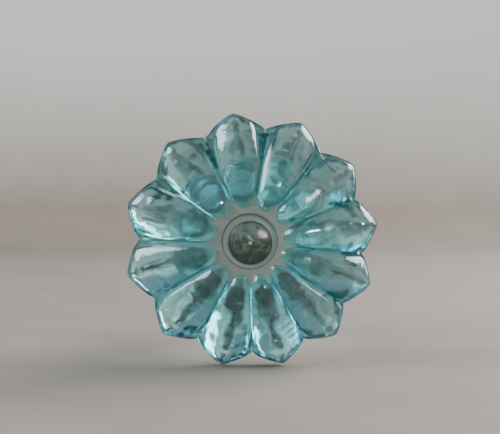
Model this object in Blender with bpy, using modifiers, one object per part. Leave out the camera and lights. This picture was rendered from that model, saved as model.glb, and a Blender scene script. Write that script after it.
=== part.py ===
"""A pressed-glass flower knob for a drawer, with its cemented stud, cushion, washer and nut.

Units are metres. The knob's axis is horizontal: the flower faces -Y and the stud points to +Y.
The origin is on that axis, in the plane where the knob meets the drawer front.
Each piece is modelled with +Z out of the flower and +Y up, and a parent empty turns it upright.
"""

import math

import bmesh
import bpy

# Flower head: radii from the knob's axis, and heights above the drawer front.
PETALS = 12
PETAL_TURN = math.radians(11.5)  # the first petal's direction, from +X towards up
PETAL_UNEVEN = math.radians(5.5)  # the hand-cut mould spaced its petals unevenly
UNEVEN_TOWARDS = math.radians(52)  # where they stand closest together
TIP_RADIUS = 0.0204  # the rim is a star between these two radii
VALLEY_RADIUS = 0.0175
CORNER_ROUNDING = math.radians(1.6)  # rounds the star's corners
SIDE_FULLNESS = 0.25  # how far its sides swell from straight towards round lobes
PETAL_END = 0.0212  # where the petals' blunt ends would reach, were they not cut off by the rim
END_SHIFT = 0.0003  # the petals sit this far off the star's centre
SHIFT_TOWARDS = math.radians(230)
PETAL_WAIST = 0.0125  # the webs between the petals begin here
PETAL_HALF_ANGLE = math.radians(15.0)
SIDE_WIDENING = math.radians(0.8)  # the petals at the sides are wider than those above and below
PETAL_BLUNTNESS = 0.58  # 0.5 makes an elliptical end, and more a narrower one
RIM_MARGIN = 0.0001
CUSP_RADIUS = 0.0075  # the land runs out between the petals to here
PETAL_START = 0.0051  # the petals' round inner ends
LAND_HEIGHT = 0.0210
WEB_SLOPE = 0.394  # the webs fall away from the land as a cone
CONE_EASE = 0.0010
RIM_FRONT_HEIGHT = 0.0172
RIM_BACK_HEIGHT = 0.0150
CREST_INNER = 0.0011  # how far a petal stands proud of its creases, near the hub
CREST_OUTER = 0.0026

# Eye: a low dome in a round groove, in the middle of the land.
EYE_RADIUS = 0.00425
DOME_RADIUS = 0.0033
GROOVE_DEPTH = 0.0006
DOME_EDGE_DROP = 0.0002
DOME_RISE = 0.0006

# Neck, foot and the blind socket that the stud is cemented into.
BELL_RADIUS = 0.0078  # the flower's back curves to the neck, drawn towards this corner
BELL_HEIGHT = 0.0094
NECK_RADIUS = 0.0062
NECK_TOP = 0.0068
NECK_BOTTOM = 0.0060
FOOT_RADIUS = 0.0074
FOOT_SHOULDER = 0.0032
FOOT_BACK = 0.0011
SOCKET_RADIUS = 0.0044
SOCKET_MOUTH_RADIUS = 0.0047
SOCKET_TOP = 0.0134
SOCKET_DOME = 0.0006

# Hardware. A No. 8-32 machine-screw thread: the stud and nut are plain at its outer diameter.
GAP = 0.0003
STUD_RADIUS = 0.00208
STUD_LENGTH_BEHIND = 0.0265
DRAWER_FRONT = 0.0190  # the thickness that the washer and nut are set for
STUD_CHAMFER = 0.0005
HEAD_ACROSS_FLATS = 0.0050
HEAD_BACK = 0.0099
HEAD_FRONT = 0.0129
CUSHION_THICKNESS = 0.0008
WASHER_RADIUS = 0.0075
WASHER_THICKNESS = 0.0010
NUT_ACROSS_FLATS = 0.00873
NUT_THICKNESS = 0.00318
NUT_CHAMFER = math.radians(30)

COLUMNS_PER_PETAL = 10
TURN_STEPS = 48
SHARP = math.radians(35)


# Scene helpers -------------------------------------------------------------------------------


def clear_scene():
    for item in list(bpy.data.objects):
        bpy.data.objects.remove(item, do_unlink=True)


def new_collection(name):
    made = bpy.data.collections.new(name)
    bpy.context.scene.collection.children.link(made)
    return made


def material(name, colour, roughness, metallic=0.0, transmission=0.0):
    made = bpy.data.materials.new(name)
    made.use_nodes = True
    surface = made.node_tree.nodes["Principled BSDF"]
    surface.inputs["Base Color"].default_value = (*colour, 1.0)
    surface.inputs["Roughness"].default_value = roughness
    surface.inputs["Metallic"].default_value = metallic
    surface.inputs["Transmission Weight"].default_value = transmission
    return made


def add_object(name, mesh, collection, axis, height=0.0):
    """Links a mesh as an object whose origin is on the knob's axis, at this height."""
    made = bpy.data.objects.new(name, mesh)
    collection.objects.link(made)
    made.parent = axis
    made.location = (0.0, 0.0, height)
    return made


def finish(piece, look):
    """Gives the piece its material and smooth shading with crisp edges."""
    piece.data.materials.append(look)
    piece.data.shade_smooth()
    piece.data.set_sharp_from_angle(angle=SHARP)
    return piece


def as_cutter(piece):
    piece.hide_render = True
    piece.display_type = "WIRE"
    return piece


def boolean(piece, other, operation):
    cut = piece.modifiers.new(operation.lower() + "_" + other.name, "BOOLEAN")
    cut.operation = operation
    cut.object = other
    return cut


def turned(name, profile, collection, axis, height=0.0, steps=TURN_STEPS):
    """Turns (radius, height) points about the axis. They run down the outer side first.

    A profile that starts and ends on the axis stays open there, and any other one is closed.
    """
    mesh = bpy.data.meshes.new(name)
    points = [(radius, 0.0, z) for radius, z in profile]
    edges = [(i, i + 1) for i in range(len(points) - 1)]
    solid_middle = profile[0][0] == 0.0 and profile[-1][0] == 0.0
    if not solid_middle:
        edges.append((len(points) - 1, 0))
    mesh.from_pydata(points, edges, [])
    piece = add_object(name, mesh, collection, axis, height)
    spin = piece.modifiers.new("turn", "SCREW")
    spin.axis = "Z"
    spin.angle = math.tau
    spin.steps = steps
    spin.render_steps = steps
    spin.use_merge_vertices = True
    spin.merge_threshold = 0.00001
    spin.use_smooth_shade = True
    return piece


def prism(name, across_flats, low, high, collection, axis, height=0.0):
    """A hexagonal prism between two heights above its own origin."""
    mesh = bpy.data.meshes.new(name)
    shape = bmesh.new()
    corner_radius = across_flats / 2 / math.cos(math.pi / 6)
    bmesh.ops.create_cone(
        shape,
        cap_ends=True,
        segments=6,
        radius1=corner_radius,
        radius2=corner_radius,
        depth=high - low,
    )
    bmesh.ops.translate(shape, verts=shape.verts, vec=(0.0, 0.0, (high + low) / 2))
    shape.to_mesh(mesh)
    shape.free()
    return add_object(name, mesh, collection, axis, height)


# Flower outline ------------------------------------------------------------------------------


def mix(a, b, share):
    return a + (b - a) * share


def petal_direction(index):
    """The angle of a petal's tip. Spacing varies once round the flower."""
    even = PETAL_TURN + index * math.tau / PETALS
    return even - PETAL_UNEVEN * math.cos(even - UNEVEN_TOWARDS)


def columns():
    """(angle, offset, half, across) for each column of the loft.

    The offset is the angle from the petal's middle and half the angle to its neighbour's side.
    Across runs from -1 to 1 over one petal.
    """
    made = []
    for index in range(PETALS):
        tip = petal_direction(index)
        before = (tip - petal_direction(index - 1)) / 2
        after = (petal_direction(index + 1) - tip) / 2
        for step in range(COLUMNS_PER_PETAL):
            across = math.sin(math.pi * (step / COLUMNS_PER_PETAL - 0.5))
            half = after if across > 0 else before
            made.append((tip + across * half, abs(across) * half, half, across))
    return made


def roundness(across):
    return math.sqrt(max(0.0, 1.0 - across * across))


def land_edge(across):
    """The land's edge: round under each petal, with a cusp between two petals."""
    return CUSP_RADIUS - (CUSP_RADIUS - PETAL_START) * roundness(across)


def outline(offset, half):
    """The rim's radius: between a straight-sided star and a ring of round lobes."""
    from_tip = math.hypot(offset, CORNER_ROUNDING)
    to_valley = math.hypot(half - offset, CORNER_ROUNDING)
    along = half * from_tip / (from_tip + to_valley)
    star = TIP_RADIUS * VALLEY_RADIUS * math.sin(half)
    star /= TIP_RADIUS * math.sin(along) + VALLEY_RADIUS * math.sin(half - along)
    lobe = mix(VALLEY_RADIUS, TIP_RADIUS, math.sqrt(1.0 - (offset / half) ** 2))
    return mix(star, lobe, SIDE_FULLNESS)


def petal_edge(angle, offset, half):
    """The radius at which the petal ends: its own blunt end, kept inside the rim."""
    half_width = PETAL_HALF_ANGLE + SIDE_WIDENING * math.cos(2 * angle)
    end = PETAL_END + END_SHIFT * math.cos(angle - SHIFT_TOWARDS)
    fullness = max(0.0, 1.0 - (offset / half_width) ** 2) ** PETAL_BLUNTNESS
    blunt, limit = mix(PETAL_WAIST, end, fullness), outline(offset, half) - RIM_MARGIN
    return (blunt + limit - math.hypot(blunt - limit, 4 * RIM_MARGIN)) / 2


def web_height(radius):
    """The surface under the petals: level land, then a cone, then the rim's level front."""
    out = radius - CUSP_RADIUS
    fall = WEB_SLOPE * (out + math.hypot(out, CONE_EASE) - CONE_EASE / 2) / 2
    return max(LAND_HEIGHT - max(0.0, fall), RIM_FRONT_HEIGHT)


def petal_height(along, across, radius):
    """A petal's surface: round at both ends, and taller where it is wider."""
    proud = mix(CREST_INNER, CREST_OUTER, along ** 0.8)
    ends = (1.0 - abs(2.0 * along - 1.0) ** 4.0) ** 0.6
    return web_height(radius) + proud * ends * roundness(across) ** 1.45


# Pieces --------------------------------------------------------------------------------------


def front_rings(column):
    """(radius, height) for one column, from the dome's edge out to the rim."""
    angle, offset, half, across = column
    eye_edge = LAND_HEIGHT - DOME_EDGE_DROP
    floor = LAND_HEIGHT - GROOVE_DEPTH
    rings = [
        (DOME_RADIUS * 0.35, eye_edge + DOME_RISE * 0.88),
        (DOME_RADIUS * 0.70, eye_edge + DOME_RISE * 0.51),
        (DOME_RADIUS, eye_edge),
        (DOME_RADIUS + 0.00008, floor),
        (EYE_RADIUS - 0.00030, floor),
        (EYE_RADIUS, LAND_HEIGHT),
    ]
    inner, outer = land_edge(across), petal_edge(angle, offset, half)
    for along in (0.0, 0.04, 0.12, 0.26, 0.45, 0.65, 0.82, 0.93, 0.98, 1.0):
        radius = mix(inner, outer, along)
        rings.append((radius, petal_height(along, across, radius)))
    rim = outline(offset, half)
    for share in (0.45, 0.9):
        radius = mix(outer, rim, share)
        rings.append((radius, web_height(radius)))
    rings.append((rim, RIM_FRONT_HEIGHT - 0.0003))
    return rings


def back_rings(column):
    """(radius, height) for one column, from the rim's back edge down to the foot."""
    _, offset, half, _ = column
    rim = outline(offset, half)
    rings = [(rim, RIM_BACK_HEIGHT + 0.0004)]
    for step in range(9):
        t = step / 8
        start, towards, end = (1 - t) ** 2, 2 * t * (1 - t), t * t
        radius = start * (rim - 0.0004) + towards * BELL_RADIUS + end * NECK_RADIUS
        height = start * RIM_BACK_HEIGHT + towards * BELL_HEIGHT + end * NECK_TOP
        rings.append((radius, height))
    rings += [
        (NECK_RADIUS, NECK_BOTTOM),
        (mix(NECK_RADIUS, FOOT_RADIUS, 0.3), mix(NECK_BOTTOM, FOOT_SHOULDER, 0.5)),
        (FOOT_RADIUS, FOOT_SHOULDER),
        (FOOT_RADIUS, FOOT_BACK + 0.0003),
        (FOOT_RADIUS - 0.0003, FOOT_BACK),
    ]
    return rings


def glass_knob(parts, cutters, axis):
    """The pressed glass: a loft from the dome through the petals to the round foot."""
    shape = bmesh.new()
    top = shape.verts.new((0.0, 0.0, LAND_HEIGHT - DOME_EDGE_DROP + DOME_RISE))
    bottom = shape.verts.new((0.0, 0.0, FOOT_BACK))
    strips = []
    for column in columns():
        x, y = math.cos(column[0]), math.sin(column[0])
        rings = front_rings(column) + back_rings(column)
        strips.append([shape.verts.new((r * x, r * y, height)) for r, height in rings])
    for index, strip in enumerate(strips):
        following = strips[(index + 1) % len(strips)]
        shape.faces.new((top, strip[0], following[0]))
        for here in range(len(strip) - 1):
            shape.faces.new(
                (strip[here], strip[here + 1], following[here + 1], following[here])
            )
        shape.faces.new((strip[-1], bottom, following[-1]))
    mesh = bpy.data.meshes.new("glass_knob")
    shape.to_mesh(mesh)
    shape.free()
    knob = add_object("glass_knob", mesh, parts, axis)
    socket = turned(
        "socket_cutter",
        [
            (0.0, SOCKET_TOP + SOCKET_DOME),
            (SOCKET_RADIUS * 0.6, SOCKET_TOP + SOCKET_DOME * 0.7),
            (SOCKET_RADIUS, SOCKET_TOP),
            (SOCKET_MOUTH_RADIUS, FOOT_BACK - 0.001),
            (0.0, FOOT_BACK - 0.001),
        ],
        cutters,
        axis,
    )
    boolean(knob, as_cutter(socket), "DIFFERENCE")
    look = material("teal_glass", (0.30, 0.56, 0.55), 0.05, transmission=0.9)
    return finish(knob, look)


def cement_plug(parts, axis):
    """The plaster round the stud, with a pocket for the stud's head."""
    back = FOOT_BACK + GAP
    head_pocket = HEAD_ACROSS_FLATS / 2 / math.cos(math.pi / 6) + GAP
    shank_hole = STUD_RADIUS + GAP
    plug = turned(
        "cement_plug",
        [
            (SOCKET_RADIUS - GAP, HEAD_FRONT),
            (SOCKET_MOUTH_RADIUS - GAP, back),
            (shank_hole, back),
            (shank_hole, HEAD_BACK - GAP),
            (head_pocket, HEAD_BACK - GAP),
            (head_pocket, HEAD_FRONT),
        ],
        parts,
        axis,
    )
    return finish(plug, material("plaster", (0.62, 0.59, 0.53), 0.9))


def threaded_stud(parts, cutters, axis):
    """The screw: a hexagonal head held in the plaster, and a shank through the drawer front."""
    end = -STUD_LENGTH_BEHIND
    shank = turned(
        "threaded_stud",
        [
            (0.0, HEAD_BACK + 0.0010),
            (STUD_RADIUS, HEAD_BACK + 0.0010),
            (STUD_RADIUS, end + STUD_CHAMFER),
            (STUD_RADIUS - STUD_CHAMFER, end),
            (0.0, end),
        ],
        parts,
        axis,
        steps=32,
    )
    head = prism("stud_head", HEAD_ACROSS_FLATS, HEAD_BACK, HEAD_FRONT, cutters, axis)
    boolean(shank, as_cutter(head), "UNION")
    return finish(shank, material("dark_iron", (0.16, 0.15, 0.14), 0.5, metallic=1.0))


def cushion_washer(parts, axis):
    """The leather ring between the glass foot and the drawer front."""
    ring = turned(
        "cushion_washer",
        [
            (FOOT_RADIUS - 0.0004, CUSHION_THICKNESS),
            (FOOT_RADIUS - 0.0004, 0.0),
            (STUD_RADIUS + 2 * GAP, 0.0),
            (STUD_RADIUS + 2 * GAP, CUSHION_THICKNESS),
        ],
        parts,
        axis,
    )
    return finish(ring, material("cushion_leather", (0.28, 0.17, 0.10), 0.8))


def flat_washer(parts, axis):
    """The washer behind the drawer front. Its origin is the middle of its front face."""
    edge = 0.0001
    front = -DRAWER_FRONT - GAP
    ring = turned(
        "flat_washer",
        [
            (WASHER_RADIUS - edge, 0.0),
            (WASHER_RADIUS, -edge),
            (WASHER_RADIUS, edge - WASHER_THICKNESS),
            (WASHER_RADIUS - edge, -WASHER_THICKNESS),
            (STUD_RADIUS + GAP, -WASHER_THICKNESS),
            (STUD_RADIUS + GAP, 0.0),
        ],
        parts,
        axis,
        front,
    )
    return finish(ring, material("washer_steel", (0.42, 0.41, 0.39), 0.4, metallic=1.0))


def hex_nut(parts, cutters, axis):
    """The nut, chamfered at both ends. Its origin is the middle of its front face."""
    front = -DRAWER_FRONT - GAP - WASHER_THICKNESS - GAP
    nut = prism("hex_nut", NUT_ACROSS_FLATS, -NUT_THICKNESS, 0.0, parts, axis, front)
    flat_radius = NUT_ACROSS_FLATS / 2
    beyond = 0.0005
    spread = 0.0012
    rise = spread * math.tan(NUT_CHAMFER)
    barrel = turned(
        "nut_barrel",
        [
            (0.0, beyond),
            (flat_radius - beyond / math.tan(NUT_CHAMFER), beyond),
            (flat_radius + spread, -rise),
            (flat_radius + spread, rise - NUT_THICKNESS),
            (flat_radius - beyond / math.tan(NUT_CHAMFER), -NUT_THICKNESS - beyond),
            (0.0, -NUT_THICKNESS - beyond),
        ],
        cutters,
        axis,
        front,
    )
    bore = turned(
        "nut_bore",
        [
            (0.0, beyond),
            (STUD_RADIUS + GAP, beyond),
            (STUD_RADIUS + GAP, -NUT_THICKNESS - beyond),
            (0.0, -NUT_THICKNESS - beyond),
        ],
        cutters,
        axis,
        front,
        steps=32,
    )
    boolean(nut, as_cutter(barrel), "INTERSECT")
    boolean(nut, as_cutter(bore), "DIFFERENCE")
    return finish(nut, material("nut_steel", (0.38, 0.37, 0.35), 0.35, metallic=1.0))


def main():
    clear_scene()
    parts = new_collection("flower_knob")
    cutters = new_collection("cutters")
    axis = bpy.data.objects.new("knob_axis", None)
    parts.objects.link(axis)
    axis.rotation_euler = (math.pi / 2, 0.0, 0.0)
    glass_knob(parts, cutters, axis)
    cement_plug(parts, axis)
    threaded_stud(parts, cutters, axis)
    cushion_washer(parts, axis)
    flat_washer(parts, axis)
    hex_nut(parts, cutters, axis)


main()
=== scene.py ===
"""Looks of the pressed-glass flower knob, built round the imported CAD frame.

Units are metres. The knob's axis is horizontal: the flower faces -Y and the stud points to +Y.
Pieces are worked out with z out of the flower and y up, and turned upright as they are made.
"""
import math
import random

import bpy
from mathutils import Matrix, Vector, noise

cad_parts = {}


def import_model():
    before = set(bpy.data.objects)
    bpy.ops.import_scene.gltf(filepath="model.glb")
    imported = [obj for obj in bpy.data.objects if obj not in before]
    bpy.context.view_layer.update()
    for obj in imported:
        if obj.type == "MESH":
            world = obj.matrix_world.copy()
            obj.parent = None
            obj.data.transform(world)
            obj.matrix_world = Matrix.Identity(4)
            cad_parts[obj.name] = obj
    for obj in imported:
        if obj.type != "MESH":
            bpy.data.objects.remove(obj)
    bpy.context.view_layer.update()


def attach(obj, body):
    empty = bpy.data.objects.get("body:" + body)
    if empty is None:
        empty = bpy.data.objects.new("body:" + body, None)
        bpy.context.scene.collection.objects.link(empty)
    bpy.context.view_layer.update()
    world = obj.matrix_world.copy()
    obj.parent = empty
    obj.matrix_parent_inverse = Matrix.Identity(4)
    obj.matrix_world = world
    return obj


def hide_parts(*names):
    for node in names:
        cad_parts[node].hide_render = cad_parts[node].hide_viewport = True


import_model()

# Flower head: the same driving dimensions as the CAD.
PETALS = 12
PETAL_TURN = math.radians(11.5)
PETAL_UNEVEN = math.radians(5.5)
UNEVEN_TOWARDS = math.radians(52)
TIP_RADIUS = 0.0204
VALLEY_RADIUS = 0.0175
CORNER_ROUNDING = math.radians(1.6)
SIDE_FULLNESS = 0.25
PETAL_END = 0.0212
END_SHIFT = 0.0003
SHIFT_TOWARDS = math.radians(230)
PETAL_WAIST = 0.0125
PETAL_HALF_ANGLE = math.radians(15.0)
SIDE_WIDENING = math.radians(0.8)
PETAL_BLUNTNESS = 0.58
RIM_MARGIN = 0.0001
CUSP_RADIUS = 0.0075
PETAL_START = 0.0051
LAND_HEIGHT = 0.0210
WEB_SLOPE = 0.394
CONE_EASE = 0.0010
RIM_FRONT_HEIGHT = 0.0172
RIM_BACK_HEIGHT = 0.0150
CREST_INNER = 0.0011
CREST_OUTER = 0.0026
EYE_RADIUS = 0.00425
DOME_RADIUS = 0.0033
GROOVE_DEPTH = 0.0006
DOME_EDGE_DROP = 0.0002
DOME_RISE = 0.0006
NECK_RADIUS = 0.0062
BELL_RADIUS = 0.0078
BELL_HEIGHT = 0.0094
NECK_TOP = 0.0068
NECK_BOTTOM = 0.0066
FOOT_RADIUS = 0.0074
FOOT_SHOULDER = 0.0032
FOOT_BACK = 0.0011
SOCKET_RADIUS = 0.0044
SOCKET_MOUTH_RADIUS = 0.0047
SOCKET_TOP = 0.0134
SOCKET_DOME = 0.0006

# Marks that the mould and the years left on the glass.
DOME_SHIFT = (0.00012, -0.00025)
TOOL_MARK_DEPTH = 0.000005
TOOL_MARK_PITCH = 0.00042
PIP_RADIUS = 0.00022
PIP_HEIGHT = 0.00026
PIT_PLACE = (-0.00050, 0.00014)
PIT_RADIUS = 0.00020
PIT_DEPTH = 0.00016
SEAM_TURNS = (math.radians(35), math.radians(155), math.radians(275))
SEAM_HEIGHT = 0.00007
FLASH_HEIGHT = 0.00006
FLASH_HALF_WIDTH = 0.00015
RIPPLE_SLOW = 0.00006
RIPPLE_FAST = 0.000016
RIPPLE_DRAWN = 0.00003
BACK_COARSENESS = 6.0
SEEDS_PER_PETAL = 4

# How frosted each part of the flower's face is, against 1 for the land.
DOME_FROST = 0.55
# The pip's frost is also a painted highlight: it makes the pip pale.
PIP_FROST_AND_HIGHLIGHT = 0.30
GROOVE_FROST = 0.80

# Hardware.
STUD_RADIUS = 0.00208
STUD_LENGTH_BEHIND = 0.0265
STUD_CHAMFER = 0.0005
DRAWER_FRONT = 0.0190
GAP = 0.0003
THREAD_PITCH = 0.00079375
THREAD_DEPTH = 0.00045
HEAD_ACROSS_FLATS = 0.0050
HEAD_BACK = 0.0099
HEAD_FRONT = 0.0129
WASHER_RADIUS = 0.0075
WASHER_THICKNESS = 0.0010
NUT_ACROSS_FLATS = 0.00873
NUT_THICKNESS = 0.00318

# How finely the shapes are divided, and the angle past which an edge is sharp.
COLUMNS_PER_PETAL = 32
PETAL_STEPS = 60
BELL_STEPS = 48
NECK_STEPS = 14
TURN_COLUMNS = 144
PLUG_COLUMNS = 96
STUD_COLUMNS = 60
STEPS_PER_THREAD = 9
BORE_STEPS = 44
SHARP = math.radians(40)


# Mesh helpers --------------------------------------------------------------------------------


def mix(a, b, share):
    """The value this share of the way from a to b."""
    return a + (b - a) * share


def smooth(value, low, high):
    """0 below low, 1 above high, with an easy change between."""
    share = min(1.0, max(0.0, (value - low) / (high - low)))
    return share * share * (3.0 - 2.0 * share)


def bump(distance, width):
    """1 at no distance, falling smoothly to almost 0 at twice the width."""
    return math.exp(-((distance / width) ** 2))


def bend(start, corner, end, share):
    """A value or place on the curve from start to end that leans towards corner."""
    return start * (1 - share) ** 2 + corner * 2 * share * (1 - share) + end * share * share


def upright(x, y, z):
    """A point given with z out of the flower and y up, in the row frame."""
    return (x, -z, y)


def add_mesh(name, points, faces, look, sharp=SHARP):
    """A smooth-shaded piece in the row frame, with edges sharp past this angle."""
    mesh = bpy.data.meshes.new(name)
    mesh.from_pydata([upright(*p) for p in points], [], faces)
    mesh.validate()
    mesh.materials.append(look)
    mesh.shade_smooth()
    mesh.set_sharp_from_angle(angle=sharp)
    piece = bpy.data.objects.new(name, mesh)
    bpy.context.scene.collection.objects.link(piece)
    return piece


def stand_in(piece, body, node):
    """Shows the piece in place of the CAD node, moving with this body."""
    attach(piece, body)
    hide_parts(node)


def wrap_strips(strips, first_pole=None, last_pole=None):
    """Joins strips of points, each running the same way, into one closed band."""
    points = [p for strip in strips for p in strip]
    length = len(strips[0])
    faces = []
    for i in range(len(strips)):
        here, after = i * length, (i + 1) % len(strips) * length
        for k in range(length - 1):
            faces.append((here + k, here + k + 1, after + k + 1, after + k))
        if first_pole is None and last_pole is None:
            faces.append((here + length - 1, here, after, after + length - 1))
    for pole, k in ((first_pole, 0), (last_pole, length - 1)):
        if pole is None:
            continue
        points.append(pole)
        for i in range(len(strips)):
            here, after = i * length + k, (i + 1) % len(strips) * length + k
            edge = (here, after) if k == 0 else (after, here)
            faces.append((len(points) - 1, *edge))
    return points, faces


def turned(profile, warp=None, columns=TURN_COLUMNS):
    """Strips of a turned shape from (radius, height) points, bent by warp(x, y, z) if given."""
    strips = []
    for i in range(columns):
        angle = math.tau * i / columns
        strip = [(r * math.cos(angle), r * math.sin(angle), z) for r, z in profile]
        strips.append([warp(*p) for p in strip] if warp else strip)
    return strips


def rounded(profile, radius, steps=4, closed=True):
    """The profile with each corner replaced by an arc-like bend of this size."""
    made = []
    count = len(profile)
    for i, (r, z) in enumerate(profile):
        if not closed and i in (0, count - 1):
            made.append((r, z))
            continue
        before, after = profile[i - 1], profile[(i + 1) % count]
        corner = Vector((r, z))
        into, out = Vector(before) - corner, Vector(after) - corner
        reach = min(radius, into.length * 0.45, out.length * 0.45)
        start, end = corner + into.normalized() * reach, corner + out.normalized() * reach
        for k in range(steps + 1):
            made.append(tuple(bend(start, corner, end, k / steps)))
    return made


def dented(size, depth, seed):
    """A warp that gives a turned piece the slight waves and dents of use."""

    def warp(x, y, z):
        place = Vector((x, y, z)) / size + Vector((seed, 2.3 * seed, 0.7))
        shifts = (depth * noise.noise(place + Vector((k, 0, 0))) for k in (0.0, 17.0, 41.0))
        return tuple(c + shift for c, shift in zip((x, y, z), shifts))

    return warp


# Flower --------------------------------------------------------------------------------------


def petal_direction(index):
    """The angle of a petal's middle. The petals are spaced unevenly round the flower."""
    even = PETAL_TURN + index * math.tau / PETALS
    return even - PETAL_UNEVEN * math.cos(even - UNEVEN_TOWARDS)


def columns():
    """Each column of the loft: its angle, its offset from the petal's middle, the petal's half
    angle on that side, and its place across the petal from -1 to 1."""
    made = []
    for index in range(PETALS):
        tip = petal_direction(index)
        before = (tip - petal_direction(index - 1)) / 2
        after = (petal_direction(index + 1) - tip) / 2
        for step in range(COLUMNS_PER_PETAL):
            across = math.sin(math.pi * (step / COLUMNS_PER_PETAL - 0.5))
            half = after if across > 0 else before
            made.append((tip + across * half, abs(across) * half, half, across))
    return made


def roundness(across):
    """1 in the middle of a petal, falling like a circle to 0 at its sides."""
    return math.sqrt(max(0.0, 1.0 - across * across))


def land_edge(across):
    """The radius at which the petal starts: least in its middle, most between two petals."""
    return CUSP_RADIUS - (CUSP_RADIUS - PETAL_START) * roundness(across)


def outline(offset, half):
    """The rim's radius: between a straight-sided star and a ring of round lobes."""
    from_tip = math.hypot(offset, CORNER_ROUNDING)
    to_valley = math.hypot(half - offset, CORNER_ROUNDING)
    along = half * from_tip / (from_tip + to_valley)
    star = TIP_RADIUS * VALLEY_RADIUS * math.sin(half)
    star /= TIP_RADIUS * math.sin(along) + VALLEY_RADIUS * math.sin(half - along)
    lobe = mix(VALLEY_RADIUS, TIP_RADIUS, math.sqrt(1.0 - (offset / half) ** 2))
    return mix(star, lobe, SIDE_FULLNESS)


def petal_edge(angle, offset, half):
    """The radius at which the petal ends: its own blunt end, kept inside the rim."""
    half_width = PETAL_HALF_ANGLE + SIDE_WIDENING * math.cos(2 * angle)
    end = PETAL_END + END_SHIFT * math.cos(angle - SHIFT_TOWARDS)
    fullness = max(0.0, 1.0 - (offset / half_width) ** 2) ** PETAL_BLUNTNESS
    blunt, limit = mix(PETAL_WAIST, end, fullness), outline(offset, half) - RIM_MARGIN
    return (blunt + limit - math.hypot(blunt - limit, 4 * RIM_MARGIN)) / 2


def web_height(radius):
    """The height of the cone that the petals stand on."""
    out = radius - CUSP_RADIUS
    fall = WEB_SLOPE * (out + math.hypot(out, CONE_EASE) - CONE_EASE / 2) / 2
    return max(LAND_HEIGHT - max(0.0, fall), RIM_FRONT_HEIGHT)


def petal_height(along, across, radius):
    """The height of a petal's skin, from its start (along 0) to its end (along 1)."""
    proud = mix(CREST_INNER, CREST_OUTER, along ** 0.8)
    ends = (1.0 - abs(2.0 * along - 1.0) ** 4.0) ** 0.6
    return web_height(radius) + proud * ends * roundness(across) ** 1.45


def eye_rings():
    """The dome, the groove round it and the groove's outer lip, from the middle outwards."""
    edge = LAND_HEIGHT - DOME_EDGE_DROP
    floor = LAND_HEIGHT - GROOVE_DEPTH
    radii = [0.00008 * k for k in range(1, 12)] + [0.0011 + 0.00019 * k for k in range(11)]
    rings = []
    for r in radii:
        share = r / DOME_RADIUS
        tool_mark = TOOL_MARK_DEPTH * math.sin(math.tau * r / TOOL_MARK_PITCH)
        tool_mark *= smooth(r, 0.0005, 0.0012)
        rings.append((r, edge + DOME_RISE * (1 - share ** 2.2) + tool_mark))
    corner = [
        (DOME_RADIUS * 0.96, edge + DOME_RISE * 0.07),
        (DOME_RADIUS, edge - 0.00005),
        (DOME_RADIUS + 0.00012, floor),
        (EYE_RADIUS - 0.00030, floor),
        (EYE_RADIUS - 0.00005, LAND_HEIGHT),
        (EYE_RADIUS + 0.0002, LAND_HEIGHT),
    ]
    return rings + rounded(corner, 0.00010, 3, closed=False)[1:]


def front_rings(column):
    """The column's (radius, height) points from the middle over the petal to the rim."""
    angle, offset, half, across = column
    rings = eye_rings()
    inner, outer = land_edge(across), petal_edge(angle, offset, half)
    last = rings[-1][0]
    rings += [(mix(last, inner, k / 4), LAND_HEIGHT) for k in range(1, 4)]
    for k in range(PETAL_STEPS + 1):
        along = (1 - math.cos(math.pi * k / PETAL_STEPS)) / 2
        radius = mix(inner, outer, along)
        rings.append((radius, petal_height(along, across, radius)))
    rim = outline(offset, half)
    for share in (0.18, 0.36, 0.54, 0.72):
        radius = mix(outer, rim, share)
        rings.append((radius, web_height(radius)))
    middle = (RIM_FRONT_HEIGHT + RIM_BACK_HEIGHT) / 2
    edge = [
        (mix(outer, rim, 0.74), web_height(mix(outer, rim, 0.74))),
        (rim, RIM_FRONT_HEIGHT),
        (rim, middle + FLASH_HALF_WIDTH),
        (rim + FLASH_HEIGHT, middle),
        (rim, middle - FLASH_HALF_WIDTH),
        (rim, RIM_BACK_HEIGHT),
        (rim - 0.001, RIM_BACK_HEIGHT - 0.00045),
    ]
    return rings + rounded(edge, 0.00035, 4, closed=False)[1:-1]


def back_rings(column):
    """The column's (radius, height) points from the rim down the bell and neck into the socket."""
    _, offset, half, _ = column
    rim = outline(offset, half) - 0.0004
    rings = []
    for k in range(1, BELL_STEPS + 1):
        radius = bend(rim, BELL_RADIUS, NECK_RADIUS, k / BELL_STEPS)
        rings.append((radius, bend(RIM_BACK_HEIGHT, BELL_HEIGHT, NECK_TOP, k / BELL_STEPS)))
    for k in range(1, NECK_STEPS + 1):
        share = k / NECK_STEPS
        radius = mix(NECK_RADIUS, FOOT_RADIUS, smooth(share, 0.1, 1.0))
        rings.append((radius, mix(NECK_BOTTOM, FOOT_SHOULDER, share)))
    socket = [
        (FOOT_RADIUS, FOOT_SHOULDER - 0.0002),
        (FOOT_RADIUS, FOOT_BACK),
        (SOCKET_MOUTH_RADIUS, FOOT_BACK),
        (SOCKET_RADIUS, SOCKET_TOP),
        (0.0001, SOCKET_TOP + SOCKET_DOME),
    ]
    return rings + rounded(socket, 0.0003, 4, closed=False)


def ripple(x, y, z, coarse=1.0):
    """The uneven skin that hot glass takes from an iron mould, drawn out from the middle."""
    place = Vector((x, y, z))
    slow = noise.noise(place * 240.0)
    fast = noise.noise(place * 850.0 + Vector((7.0, 3.0, 5.0)))
    radius = math.hypot(x, y) + 1e-9
    drawn = noise.noise(Vector((22.0 * x / radius, 22.0 * y / radius, 260.0 * radius)))
    drawn *= smooth(radius, 0.006, 0.010)
    return RIPPLE_SLOW * slow + coarse * (RIPPLE_FAST * fast + RIPPLE_DRAWN * drawn)


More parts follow.
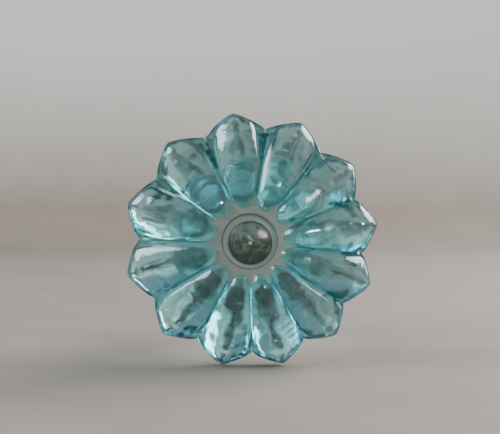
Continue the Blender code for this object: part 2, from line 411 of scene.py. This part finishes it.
def eye_marks(x, y):
    """The shares of the pip in the middle of the dome, and of the pit beside it."""
    pip = bump(math.hypot(x, y), PIP_RADIUS)
    return pip, bump(math.hypot(x - PIT_PLACE[0], y - PIT_PLACE[1]), PIT_RADIUS)


def seam(angle):
    """How far a mould seam stands proud in this direction."""
    near = min(abs(math.remainder(angle - turn, math.tau)) for turn in SEAM_TURNS)
    return SEAM_HEIGHT * bump(near, 0.022)


def bubble(points, faces, centre, size, stretch):
    """A seed in the glass: a small hollow, so its faces look inwards."""
    first = len(points)
    along = Vector((centre[0], centre[1], 0.0)).normalized()
    side = Vector((-along.y, along.x, 0.0))
    rings, segments = 7, 12
    for i in range(1, rings):
        turn = math.pi * i / rings
        for k in range(segments):
            spin = math.tau * k / segments
            out = side * math.cos(spin) + Vector((0, 0, 1)) * math.sin(spin)
            place = Vector(centre) + along * math.cos(turn) * size * stretch
            points.append(tuple(place + out * (math.sin(turn) * size)))
    poles = [Vector(centre) + along * size * stretch * sign for sign in (1, -1)]
    points += [tuple(p) for p in poles]
    outer, inner = len(points) - 2, len(points) - 1
    for i in range(rings - 2):
        for k in range(segments):
            a, b = first + i * segments + k, first + i * segments + (k + 1) % segments
            faces.append((a, b, b + segments, a + segments))
    last = (rings - 2) * segments
    for k in range(segments):
        a, b = first + k, first + (k + 1) % segments
        faces.append((outer, b, a))
        faces.append((inner, a + last, b + last))


def seeds(points, faces):
    """Small bubbles, most of them near the petals' ends."""
    chance = random.Random(5)
    for index in range(PETALS):
        tip = petal_direction(index)
        for _ in range(SEEDS_PER_PETAL):
            radius = mix(0.0090, 0.0178, chance.random() ** 0.6)
            angle = tip + chance.uniform(-0.07, 0.07)
            depth = mix(0.0160, 0.0183, chance.random())
            size = mix(0.00005, 0.00016, chance.random() ** 2)
            place = (radius * math.cos(angle), radius * math.sin(angle), depth)
            bubble(points, faces, place, size, mix(1.0, 2.6, chance.random()))


def frosting(radius, inner, pip):
    """How frosted the glass is here: the land most, then the groove round the dome. The pip's
    share also paints it pale, as a painted highlight.
    """
    land = smooth(radius, EYE_RADIUS - 0.0003, EYE_RADIUS)
    land *= 1 - smooth(radius, inner - 0.0001, inner + 0.0003)
    dome = 1 - smooth(radius, DOME_RADIUS - 0.0001, DOME_RADIUS + 0.0001)
    groove = 1 - smooth(radius, EYE_RADIUS - 0.0001, EYE_RADIUS)
    return max(land, DOME_FROST * dome + PIP_FROST_AND_HIGHLIGHT * pip, GROOVE_FROST * (groove - dome))


def painted_crease_shade(radius, across, inner, outer):
    """The share of painted shade here, near a crease: between the petals, past their ends or round
    the eye.
    """
    between = smooth(abs(across), 0.86, 1.0) * smooth(radius, inner, inner + 0.001)
    rim = smooth(radius, outer - 0.0001, outer + 0.0002)
    eye = max(bump(radius - EYE_RADIUS, 0.00012), bump(radius - DOME_RADIUS, 0.00010))
    return max(between, rim, eye)


def front_strip(column):
    """The column's front: points, each with its shares of frosting and of painted crease shade."""
    angle, offset, half, across = column
    cos, sin = math.cos(angle), math.sin(angle)
    inner, outer = land_edge(across), petal_edge(angle, offset, half)
    strip = []
    for radius, height in front_rings(column):
        lean = 1 - smooth(radius, DOME_RADIUS, EYE_RADIUS - 0.0002)
        x, y = radius * cos + DOME_SHIFT[0] * lean, radius * sin + DOME_SHIFT[1] * lean
        pip, pit = eye_marks(radius * cos, radius * sin)
        marks = PIP_HEIGHT * pip - PIT_DEPTH * pit
        point = (x, y, height + ripple(x, y, height) + marks)
        # Painted shade: the creases and the pit beside the pip are darkened in colour.
        crease_shade = max(painted_crease_shade(radius, across, inner, outer), pit)
        strip.append((point, frosting(radius, inner, pip), crease_shade))
    return strip


def back_strip(column):
    """The column's back and socket: points, all of them clear and with no painted crease shade."""
    cos, sin = math.cos(column[0]), math.sin(column[0])
    proud = seam(column[0])
    strip = []
    for radius, height in back_rings(column):
        outside = smooth(radius, SOCKET_MOUTH_RADIUS + 0.0003, NECK_RADIUS)
        r = radius + proud * outside
        x, y = r * cos, r * sin
        skin = ripple(x, y, height, BACK_COARSENESS) * outside
        strip.append(((x, y, height + skin), 0.0, 0.0))
    return strip


def glass_knob(look):
    """The whole pressing. Its points also carry how frosted the glass is and how much painted
    crease shade it gets.
    """
    strips, frosts, crease_shades = [], [], []
    for column in columns():
        strip, frost, crease_shade = zip(*front_strip(column), *back_strip(column))
        strips.append(strip)
        frosts += frost
        crease_shades += crease_shade
    top = (*DOME_SHIFT, LAND_HEIGHT - DOME_EDGE_DROP + DOME_RISE + PIP_HEIGHT)
    bottom = (0.0, 0.0, SOCKET_TOP + SOCKET_DOME)
    points, faces = wrap_strips(strips, top, bottom)
    frosts.append(DOME_FROST + PIP_FROST_AND_HIGHLIGHT)
    seeds(points, faces)
    piece = add_mesh("pressed_glass", points, faces, look, sharp=math.radians(60))
    for name, values in (("frosting", frosts), ("crease_shade", crease_shades)):
        values += [0.0] * (len(points) - len(values))
        layer = piece.data.attributes.new(name, "FLOAT", "POINT")
        layer.data.foreach_set("value", values)
    stand_in(piece, "knob", "glass_knob")


# Hardware ------------------------------------------------------------------------------------


def hexagon(across_flats, angle):
    """The radius of a hexagon in this direction, from the middle of its first flat."""
    return across_flats / 2 / math.cos(math.remainder(angle, math.pi / 3))


def thread_cut(angle, height):
    """How deep the right-hand thread's groove is here, from 0 at the crest to 1."""
    turn = (height / THREAD_PITCH - angle / math.tau) % 1.0
    return smooth(1 - abs(2 * turn - 1), 0.12, 0.92)


def plaster_plug(look):
    """The plaster, which fills the socket and overlaps the glass by a hair."""
    rise = 0.00004
    hole = STUD_RADIUS - THREAD_DEPTH
    back = FOOT_BACK + 0.0001
    profile = [
        (0.0002, SOCKET_TOP + SOCKET_DOME + rise),
        (SOCKET_RADIUS * 0.7, SOCKET_TOP + SOCKET_DOME * 0.5 + rise),
        (SOCKET_RADIUS + rise, SOCKET_TOP),
        (SOCKET_MOUTH_RADIUS + rise, back + 0.0003),
        (SOCKET_MOUTH_RADIUS - 0.0003, back),
        (hole + 0.0007, back + 0.0001),
        (hole, back + 0.0002),
        (hole, HEAD_BACK + 0.0005),
        (0.0002, HEAD_BACK + 0.0006),
    ]
    strips = turned(rounded(profile, 0.0003, 3, closed=False), columns=PLUG_COLUMNS)
    poles = [(0.0, 0.0, profile[0][1]), (0.0, 0.0, profile[-1][1])]
    points, faces = wrap_strips(strips, *poles)
    piece = add_mesh("plaster_filling", points, faces, look)
    stand_in(piece, "knob", "cement_plug")


def iron_stud(look):
    """The screw: its hexagonal head, then a thread cut all the way to the chamfered end."""
    end = -STUD_LENGTH_BEHIND
    step = THREAD_PITCH / STEPS_PER_THREAD
    count = int((HEAD_BACK - end) / step)
    strips = []
    for i in range(STUD_COLUMNS):
        angle = math.tau * i / STUD_COLUMNS
        cos, sin = math.cos(angle), math.sin(angle)
        corner = hexagon(HEAD_ACROSS_FLATS, angle)
        head = [
            (corner * 0.5, HEAD_FRONT),
            (HEAD_ACROSS_FLATS * 0.48, HEAD_FRONT),
            (corner, HEAD_FRONT - 0.0003),
            (corner, HEAD_BACK + 0.0001),
            (corner - 0.0001, HEAD_BACK),
            (STUD_RADIUS + 0.0001, HEAD_BACK),
        ]
        strip = [(r * cos, r * sin, z) for r, z in head]
        for k in range(count + 1):
            z = max(HEAD_BACK - 0.0001 - step * k, end)
            chamfer = STUD_RADIUS - STUD_CHAMFER + (z - end)
            depth = THREAD_DEPTH * thread_cut(angle, z)
            depth *= smooth(HEAD_BACK - z, 0.0004, 0.0012)
            r = min(STUD_RADIUS - depth, chamfer)
            strip.append((r * cos, r * sin, z))
        r = STUD_RADIUS - STUD_CHAMFER - 0.0002
        strip.append((r * cos, r * sin, end - 0.00001))
        strips.append(strip)
    poles = [(0.0, 0.0, HEAD_FRONT + 0.0001), (0.0, 0.0, end - 0.00001)]
    points, faces = wrap_strips(strips, *poles)
    piece = add_mesh("iron_stud", points, faces, look, sharp=math.radians(48))
    stand_in(piece, "knob", "threaded_stud")


def cushion(look):
    """The leather ring under the foot, with its edges rounded and its faces slightly waved."""
    front = FOOT_BACK - 0.00005
    outer, inner = FOOT_RADIUS - 0.0002, STUD_RADIUS + 2 * GAP
    profile = [(outer, front), (outer, 0.0), (inner, 0.0), (inner, front)]
    strips = turned(rounded(profile, 0.00025, 3), dented(size=0.0016, depth=0.00007, seed=8.0))
    points, faces = wrap_strips(strips)
    piece = add_mesh("leather_cushion", points, faces, look)
    stand_in(piece, "knob", "cushion_washer")


def washer(look):
    """A punched washer: one face rolls over at its edges, and the other has a slight burr."""
    front = -DRAWER_FRONT - GAP
    back = front - WASHER_THICKNESS
    bore = STUD_RADIUS + GAP
    profile = [
        (WASHER_RADIUS - 0.0003, front),
        (WASHER_RADIUS - 0.00005, front - 0.00012),
        (WASHER_RADIUS, front - 0.0004),
        (WASHER_RADIUS, back),
        (WASHER_RADIUS - 0.0002, back + 0.00002),
        (bore + 0.0002, back + 0.00002),
        (bore, back),
        (bore, front - 0.0003),
        (bore + 0.0002, front),
    ]
    strips = turned(rounded(profile, 0.00008, 3), dented(size=0.0060, depth=0.00005, seed=5.0))
    points, faces = wrap_strips(strips)
    piece = add_mesh("punched_washer", points, faces, look)
    stand_in(piece, "washer", "flat_washer")


def nut(look):
    """The hexagonal nut: chamfered corners, and a threaded bore."""
    front = -DRAWER_FRONT - GAP - WASHER_THICKNESS - GAP
    back = front - NUT_THICKNESS
    flat = NUT_ACROSS_FLATS / 2
    bore = STUD_RADIUS + 0.00008
    strips = []
    for i in range(TURN_COLUMNS):
        angle = math.tau * i / TURN_COLUMNS
        cos, sin = math.cos(angle), math.sin(angle)
        corner = hexagon(NUT_ACROSS_FLATS, angle)
        corner -= 0.00012 * bump(math.remainder(angle - math.pi / 6, math.pi / 3), 0.03)
        drop = (corner - flat) * math.tan(math.radians(30)) + 0.00006
        outside = [
            (bore + 0.0004, front),
            (flat - 0.0003, front),
            (flat - 0.0001, front - 0.00002),
            (corner - 0.0001, front - drop + 0.00004),
            (corner, front - drop - 0.00006),
            (corner, front - NUT_THICKNESS / 2),
            (corner, back + drop + 0.00006),
            (corner - 0.0001, back + drop - 0.00004),
            (flat - 0.0001, back + 0.00002),
            (flat - 0.0003, back),
            (bore + 0.0004, back),
        ]
        strip = [(r * cos, r * sin, z) for r, z in outside]
        for k in range(BORE_STEPS + 1):
            z = mix(back, front, k / BORE_STEPS)
            inwards = smooth(min(z - back, front - z), 0.0, 0.0006)
            ridge = 0.8 * THREAD_DEPTH * thread_cut(angle, z) * inwards
            r = mix(bore + 0.0003, bore - ridge, inwards)
            strip.append((r * cos, r * sin, z))
        strips.append(strip)
    points, faces = wrap_strips(strips)
    piece = add_mesh("threaded_nut", points, faces, look, sharp=math.radians(28))
    stand_in(piece, "nut", "hex_nut")


# Materials -----------------------------------------------------------------------------------


class Look:
    """A material's node tree, with short ways to add procedural patterns."""

    def __init__(self, name):
        self.material = bpy.data.materials.new(name)
        self.material.use_nodes = True
        tree = self.material.node_tree
        self.nodes, self.links = tree.nodes, tree.links
        self.surface = self.nodes["Principled BSDF"]
        self.place = self.nodes.new("ShaderNodeTexCoord").outputs["Object"]

    def feed(self, socket, value):
        """Links another node's output to the socket, or sets it to a number, place or colour."""
        if isinstance(value, bpy.types.NodeSocket):
            self.links.new(value, socket)
        elif socket.type == "RGBA":
            socket.default_value = (*value, 1.0)
        else:
            socket.default_value = value

    def node(self, kind, **inputs):
        """A new node of this kind, with these inputs fed."""
        made = self.nodes.new("ShaderNode" + kind)
        for name, value in inputs.items():
            self.feed(made.inputs[name], value)
        return made

    def set(self, **values):
        """Feeds the surface's inputs, which are named here with underscores for spaces."""
        for name, value in values.items():
            self.feed(self.surface.inputs[name.replace("_", " ")], value)

    def noise(self, scale, detail=3.0, roughness=0.55, place=None):
        place = place or self.place
        node = self.node("TexNoise", Vector=place, Scale=scale, Detail=detail, Roughness=roughness)
        return node.outputs["Fac"]

    def cells(self, scale, feature="F1", output="Distance"):
        node = self.node("TexVoronoi", Vector=self.place, Scale=scale)
        node.feature = feature
        return node.outputs[output]

    def stretched(self, scale):
        """Places for a pattern of a different scale along each axis."""
        return self.node("Mapping", Vector=self.place, Scale=scale).outputs["Vector"]

    def upwards(self):
        """The height of each place, in metres."""
        return self.node("SeparateXYZ", Vector=self.place).outputs["Z"]

    def radial(self, around, outwards):
        """Places for a pattern drawn out from the knob's axis: fine round it, long along it."""
        flat = self.stretched((1.0, 0.0, 1.0))
        turn, reach, place = (self.node("VectorMath") for _ in range(3))
        turn.operation, reach.operation, place.operation = "NORMALIZE", "LENGTH", "MULTIPLY_ADD"
        self.feed(turn.inputs[0], flat)
        self.feed(reach.inputs[0], flat)
        out = self.math("MULTIPLY", reach.outputs["Value"], outwards)
        self.feed(place.inputs[0], turn.outputs["Vector"])
        self.feed(place.inputs[1], (around,) * 3)
        self.feed(place.inputs[2], self.node("CombineXYZ", Y=out).outputs["Vector"])
        return place.outputs["Vector"]

    def ramp(self, value, *stops):
        """The value, changed into what these (position, result) stops give; a result is a
        number or a colour."""
        node = self.node("ValToRGB", Fac=value)
        elements = node.color_ramp.elements
        while len(elements) < len(stops):
            elements.new(0.5)
        for element, (position, result) in zip(elements, stops):
            element.position = position
            colour = result if isinstance(result, tuple) else (result,) * 3
            element.color = (*colour, 1.0)
        return node.outputs["Color"]

    def math(self, operation, *values):
        node = self.node("Math")
        node.operation = operation
        for socket, value in zip(node.inputs, values):
            self.feed(socket, value)
        return node.outputs["Value"]

    def blend(self, share, first, second):
        """The first colour where share is 0 and the second where it is 1."""
        node = self.node("Mix")
        node.data_type = "RGBA"
        for name, value in (("Factor", share), ("A", first), ("B", second)):
            self.feed(next(s for s in node.inputs if s.name == name and s.enabled), value)
        return next(s for s in node.outputs if s.enabled)

    def attribute(self, name):
        node = self.node("Attribute")
        node.attribute_name = name
        return node.outputs["Fac"]

    def height(self, value, depth):
        """Bumps the surface by this value, where 1 stands this many metres proud."""
        node = self.node("Bump", Height=value, Strength=1.0, Distance=depth)
        self.feed(self.surface.inputs["Normal"], node.outputs["Normal"])


def worn_glass_and_painted_shade(look, frost, crease_shade):
    """The colour of the frosted parts: a mottled dome, darker towards its bottom as painted shade,
    a pale ring, a greyer land, and painted shade in the creases."""
    # Painted shade: the dome's mottled colour gets darker towards its bottom.
    clouds = look.math("MULTIPLY_ADD", look.upwards(), 28.0, look.noise(1300.0, 6.0, 0.75))
    dome = look.ramp(clouds, (0.42, (0.045, 0.075, 0.045)), (0.60, (0.25, 0.275, 0.24)))
    flat = look.ramp(frost, (0.72, (0.38, 0.415, 0.385)), (1.0, (0.235, 0.255, 0.235)))
    clean = look.blend(look.ramp(frost, (0.60, 0.0), (0.70, 1.0)), dome, flat)
    # Painted shade: the creases and the pit go almost black.
    return look.blend(crease_shade, clean, (0.05, 0.065, 0.055))


def glass_look():
    """Aqua pressed glass: clear petals, a worn, frosted land and dome, and painted shade in the
    creases and low on the dome.
    """
    look = Look("aqua_glass")
    frost, crease_shade = look.attribute("frosting"), look.attribute("crease_shade")
    drawn = look.noise(1.0, 4.0, 0.6, place=look.radial(46.0, 330.0))
    haze = look.ramp(drawn, (0.42, 0.01), (0.70, 0.08))
    cloudy = look.math("MAXIMUM", haze, look.math("MULTIPLY", frost, 0.72))
    frosted = look.ramp(frost, (0.0, 0.0), (0.4, 1.0))
    # Painted shade: the clear glass is a darker teal in the creases.
    aqua = look.blend(crease_shade, (0.74, 0.905, 0.90), (0.10, 0.37, 0.39))
    dulled = look.ramp(frost, (0.0, 0.0), (0.55, 0.025), (0.7, 0.3))
    look.set(
        IOR=1.51,
        Base_Color=look.blend(frosted, aqua, worn_glass_and_painted_shade(look, frost, crease_shade)),
        Transmission_Weight=look.math("SUBTRACT", 1.0, cloudy),
        Roughness=look.math("ADD", look.math("MULTIPLY", haze, 0.15), dulled),
    )
    rough = look.math("ADD", 0.35, look.math("MULTIPLY", frost, 2.4))
    skin = look.math("MULTIPLY", look.noise(2200.0, 4.0), rough)
    look.height(look.math("ADD", skin, look.math("MULTIPLY", drawn, 0.8)), 0.00003)
    tint = look.node("VolumeAbsorption", Color=(0.12, 0.68, 0.71), Density=150.0)
    look.feed(look.nodes["Material Output"].inputs["Volume"], tint.outputs["Volume"])
    return look.material


def plaster_look():
    """Dry off-white plaster with fine cracks."""
    look = Look("plaster")
    clouds = look.noise(700.0, 6.0, 0.6)
    cracks = look.ramp(look.cells(650.0, "DISTANCE_TO_EDGE"), (0.0, 0.0), (0.05, 1.0))
    look.set(
        Base_Color=look.ramp(clouds, (0.3, (0.26, 0.24, 0.19)), (0.7, (0.52, 0.49, 0.42))),
        Roughness=look.ramp(clouds, (0.3, 0.95), (0.7, 0.8)),
    )
    look.height(look.math("ADD", look.math("MULTIPLY", cracks, 0.5), clouds), 0.00008)
    return look.material


def iron_look():
    """Dark oxidised iron with spots of rust."""
    look = Look("stud_iron")
    spots = look.noise(1100.0, 6.0, 0.65)
    rust = look.ramp(spots, (0.52, 0.0), (0.66, 1.0))
    look.set(
        Base_Color=look.blend(
            rust,
            look.ramp(look.noise(3000.0), (0.3, (0.10, 0.095, 0.09)), (0.7, (0.20, 0.19, 0.18))),
            (0.17, 0.075, 0.035),
        ),
        Metallic=look.math("SUBTRACT", 1.0, look.math("MULTIPLY", rust, 0.85)),
        Roughness=look.ramp(spots, (0.35, 0.34), (0.7, 0.78)),
    )
    look.height(look.noise(5200.0, 4.0), 0.00003)
    return look.material


def leather_look():
    """Brown leather with a fine grain."""
    look = Look("cushion_leather")
    grain = look.cells(2600.0)
    look.set(
        Base_Color=look.ramp(
            look.noise(1300.0, 4.0), (0.3, (0.20, 0.120, 0.072)), (0.7, (0.38, 0.25, 0.16))
        ),
        Roughness=look.ramp(grain, (0.0, 0.9), (0.6, 0.65)),
    )
    look.height(grain, 0.00008)
    return look.material


def steel_look(name, tone, rust_from):
    """Dull zinc plating with scratches and a little rust."""
    look = Look(name)
    spots = look.noise(640.0, 6.0, 0.62)
    rust = look.ramp(spots, (rust_from, 0.0), (rust_from + 0.10, 1.0))
    spangle = look.cells(900.0, output="Color")
    dark, light = tuple(c * 0.82 for c in tone), tuple(c * 1.15 for c in tone)
    shade = look.ramp(spangle, (0.2, dark), (0.8, light))
    scratches = look.noise(1.0, 3.0, 0.7, place=look.stretched((700.0, 700.0, 6000.0)))
    look.set(
        Base_Color=look.blend(rust, shade, (0.22, 0.10, 0.05)),
        Metallic=look.math("SUBTRACT", 1.0, look.math("MULTIPLY", rust, 0.8)),
        Roughness=look.math(
            "ADD", look.ramp(scratches, (0.3, 0.28), (0.7, 0.46)), look.math("MULTIPLY", rust, 0.3)
        ),
    )
    look.height(look.math("ADD", scratches, look.math("MULTIPLY", rust, 1.5)), 0.000018)
    return look.material


# Stage, light and camera ---------------------------------------------------------------------

FLOOR_HEIGHT = -0.0199
COVE_HUB = 0.02
COVE_FLAT = 0.34
COVE_BEND = 0.12
COVE_TOP = 0.20


def paper_look():
    """Pale paper, warmer on the floor and darker there as painted shade, lighter on the wall."""
    look = Look("cove_paper")
    mottle = look.noise(30.0, 4.0)
    floor = look.ramp(mottle, (0.3, (0.135, 0.100, 0.076)), (0.7, (0.155, 0.116, 0.088)))
    wall_share = look.ramp(look.upwards(), (0.0, 0.0), (0.10, 1.0))
    look.set(Base_Color=look.blend(wall_share, floor, (0.37, 0.335, 0.30)), Roughness=0.85)
    return look.material


def cove():
    """A round pale studio cove: flat floor, bend and low wall, all one sheet."""
    profile = [(COVE_HUB + (COVE_FLAT - COVE_HUB) * k / 8, 0.0) for k in range(9)]
    for k in range(1, 17):
        turn = math.pi / 2 * k / 16
        profile.append(
            (COVE_FLAT + COVE_BEND * math.sin(turn), COVE_BEND * (1 - math.cos(turn)))
        )
    profile.append((COVE_FLAT + COVE_BEND, COVE_TOP))
    count = 96
    points = [(0.0, 0.0, FLOOR_HEIGHT)]
    for radius, rise in profile:
        for i in range(count):
            angle = math.tau * i / count
            points.append(
                (radius * math.cos(angle), radius * math.sin(angle), FLOOR_HEIGHT + rise)
            )
    faces = [(0, 1 + i, 1 + (i + 1) % count) for i in range(count)]
    for ring in range(len(profile) - 1):
        for i in range(count):
            a, b = 1 + ring * count + i, 1 + ring * count + (i + 1) % count
            faces.append((a, a + count, b + count, b))
    mesh = bpy.data.meshes.new("studio_cove")
    mesh.from_pydata(points, [], faces)
    mesh.shade_smooth()
    mesh.materials.append(paper_look())
    sheet = bpy.data.objects.new("studio_cove", mesh)
    bpy.context.scene.collection.objects.link(sheet)


def area_light(name, place, size, power, colour):
    """A rectangular light at this place, aimed at the knob."""
    data = bpy.data.lights.new(name, "AREA")
    data.shape = "RECTANGLE"
    data.size, data.size_y = size
    data.energy = power
    data.color = colour
    lamp = bpy.data.objects.new(name, data)
    bpy.context.scene.collection.objects.link(lamp)
    lamp.location = place
    lamp.rotation_euler = (-lamp.location).to_track_quat("-Z", "Y").to_euler()


def world():
    """Soft, slightly blue light from all round."""
    made = bpy.data.worlds.new("studio_air")
    made.use_nodes = True
    air = made.node_tree.nodes["Background"]
    air.inputs["Color"].default_value = (0.80, 0.90, 1.0, 1.0)
    air.inputs["Strength"].default_value = 0.42
    bpy.context.scene.world = made


CAMERA_AZIMUTH = math.radians(1)
CAMERA_ELEVATION = math.radians(1.2)
CAMERA_DISTANCE = 0.170
CAMERA_LENS = 78.0
AIM = Vector((0.0, -0.0180, 0.0037))


def camera():
    data = bpy.data.cameras.new("camera")
    data.lens = CAMERA_LENS
    data.clip_start = 0.005
    data.clip_end = 10.0
    made = bpy.data.objects.new("camera", data)
    bpy.context.scene.collection.objects.link(made)
    level = math.cos(CAMERA_ELEVATION)
    back = Vector(
        (
            math.sin(CAMERA_AZIMUTH) * level,
            -math.cos(CAMERA_AZIMUTH) * level,
            math.sin(CAMERA_ELEVATION),
        )
    )
    made.location = AIM + back * CAMERA_DISTANCE
    made.rotation_mode = "QUATERNION"
    made.rotation_quaternion = (-back).to_track_quat("-Z", "Y")
    bpy.context.scene.camera = made


camera()
cove()
world()
area_light("window_right", (0.40, 0.16, 0.28), (0.52, 0.30), 12.0, (0.88, 0.95, 1.0))
area_light("fill_left", (-0.40, -0.10, 0.28), (0.34, 0.22), 5.0, (0.66, 0.87, 1.0))
area_light("lamp_front", (0.20, -0.34, 0.10), (0.030, 0.022), 0.8, (1.0, 0.98, 0.95))
area_light("card_back", (0.33, 0.27, 0.075), (0.28, 0.17), 1.4, (0.66, 0.90, 1.0))
glass_knob(glass_look())
plaster_plug(plaster_look())
iron_stud(iron_look())
cushion(leather_look())
washer(steel_look("washer_steel", (0.42, 0.41, 0.39), 0.60))
nut(steel_look("nut_steel", (0.38, 0.37, 0.35), 0.63))
